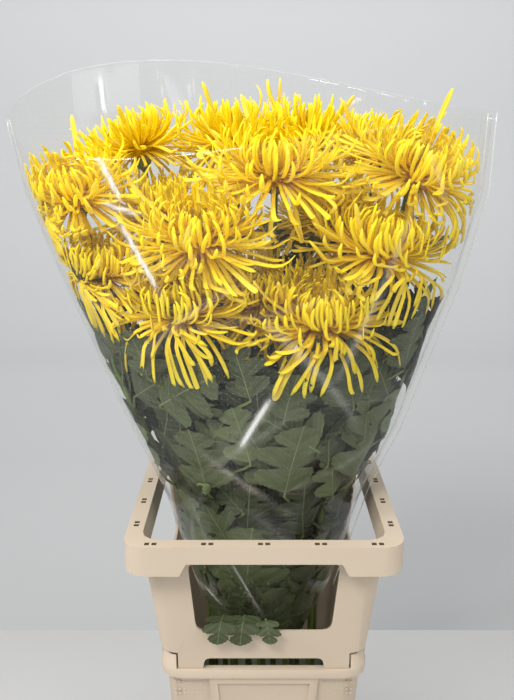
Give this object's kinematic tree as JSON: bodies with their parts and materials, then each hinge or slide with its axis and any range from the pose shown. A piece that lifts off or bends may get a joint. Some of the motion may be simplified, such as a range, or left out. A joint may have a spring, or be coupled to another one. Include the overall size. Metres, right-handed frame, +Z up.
{
  "type": "chrysanthemums in a flower bucket",
  "caption": "Bunch of yellow spider chrysanthemums in a clear film sleeve, standing in water in an oblong plastic flower bucket with a windowed collar on its rim.",
  "frame": {"origin": "middle of the bucket's underside", "axes": "+Z up along the stems, -Y towards the viewer in the picture, +X to the viewer's right"},
  "size_m": [0.5023, 0.3412, 0.8768],
  "materials": {
    "crate": "satin",
    "film": "glossy",
    "water": "glossy",
    "leaf": "matte",
    "petal": "matte",
    "eye": "matte"
  },
  "bodies": {
    "root": {"bucket": "crate", "collar": "crate", "water": "water", "sleeve": "film", "stem_01": "leaf", "bloom_01": "petal", "eye_01": "eye", "stem_02": "leaf", "bloom_02": "petal", "eye_02": "eye", "stem_03": "leaf", "bloom_03": "petal", "eye_03": "eye", "stem_04": "leaf", "bloom_04": "petal", "eye_04": "eye", "stem_05": "leaf", "bloom_05": "petal", "eye_05": "eye", "stem_06": "leaf", "bloom_06": "petal", "eye_06": "eye", "stem_07": "leaf", "bloom_07": "petal", "eye_07": "eye", "stem_08": "leaf", "bloom_08": "petal", "eye_08": "eye", "stem_09": "leaf", "bloom_09": "petal", "eye_09": "eye", "stem_10": "leaf", "bloom_10": "petal", "eye_10": "eye", "stem_11": "leaf", "bloom_11": "petal", "eye_11": "eye", "stem_12": "leaf", "bloom_12": "petal", "eye_12": "eye", "stem_13": "leaf", "bloom_13": "petal", "eye_13": "eye", "stem_14": "leaf", "bloom_14": "petal", "eye_14": "eye", "stem_15": "leaf", "bloom_15": "petal", "eye_15": "eye", "stem_16": "leaf", "bloom_16": "petal", "eye_16": "eye", "stem_17": "leaf", "bloom_17": "petal", "eye_17": "eye"}
  },
  "joints": []
}
